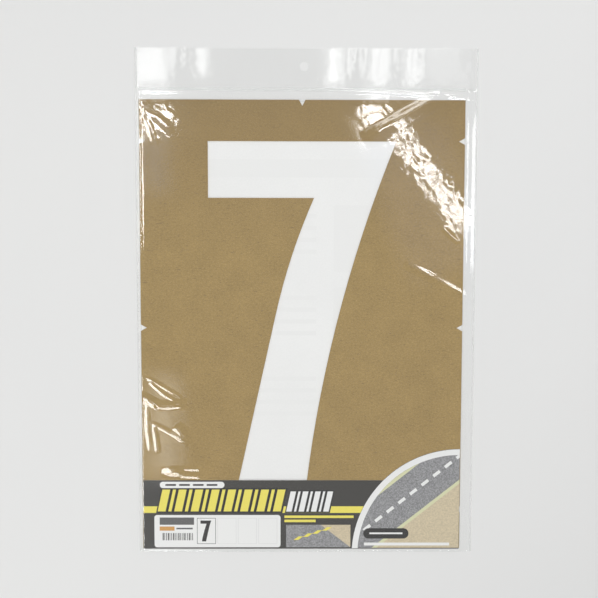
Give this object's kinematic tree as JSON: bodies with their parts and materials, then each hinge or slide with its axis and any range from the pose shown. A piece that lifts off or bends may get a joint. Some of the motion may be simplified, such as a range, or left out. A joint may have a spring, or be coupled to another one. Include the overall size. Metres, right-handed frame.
{
  "type": "road marking stencil",
  "caption": "Kraft board stencil with a cut-out digit for marking roads, packed flat with a folded card insert in a clear film bag that has a header with a hang hole.",
  "frame": {"origin": "centre of the pack's outline, on the surface that its back lies on", "axes": "+Y along the pack towards the header, +Z out of its front face, +X to the right seen from the front"},
  "size_m": [0.315, 0.4706, 0.0021],
  "materials": {
    "kraft_board": "matte kraft board with fine fibre grain",
    "insert_card": "uncoated white inside of a card sheet",
    "insert_print": "coated card with satin charcoal print",
    "clear_film": "clear glossy film",
    "adhesive": "clear pressure-sensitive strip"
  },
  "bodies": {
    "bag": {"bag_front_film": "clear_film", "bag_back_film": "clear_film", "bag_bottom_fold": "clear_film", "bag_left_seam": "clear_film", "bag_right_seam": "clear_film", "header_seal": "clear_film"},
    "lip": {"closing_lip": "clear_film", "lip_adhesive_strip": "adhesive"},
    "insert": {"insert_back_panel": "insert_card", "insert_fold": "insert_print", "insert_front_flap": "insert_print"},
    "stencil": {"stencil_board": "kraft_board"}
  },
  "joints": [
    {"name": "insert_slide", "type": "slide", "parent": "bag", "child": "insert", "axis": [0, 1, 0], "range_m": [0, 0.475]},
    {"name": "stencil_slide", "type": "slide", "parent": "insert", "child": "stencil", "axis": [0, 1, 0], "range_m": [0, 0.475]},
    {"name": "lip_hinge", "type": "hinge", "parent": "bag", "child": "lip", "pos_m": [0, 0.1958, 0], "axis": [-1, 0, 0], "range_deg": [0, 170]}
  ]
}
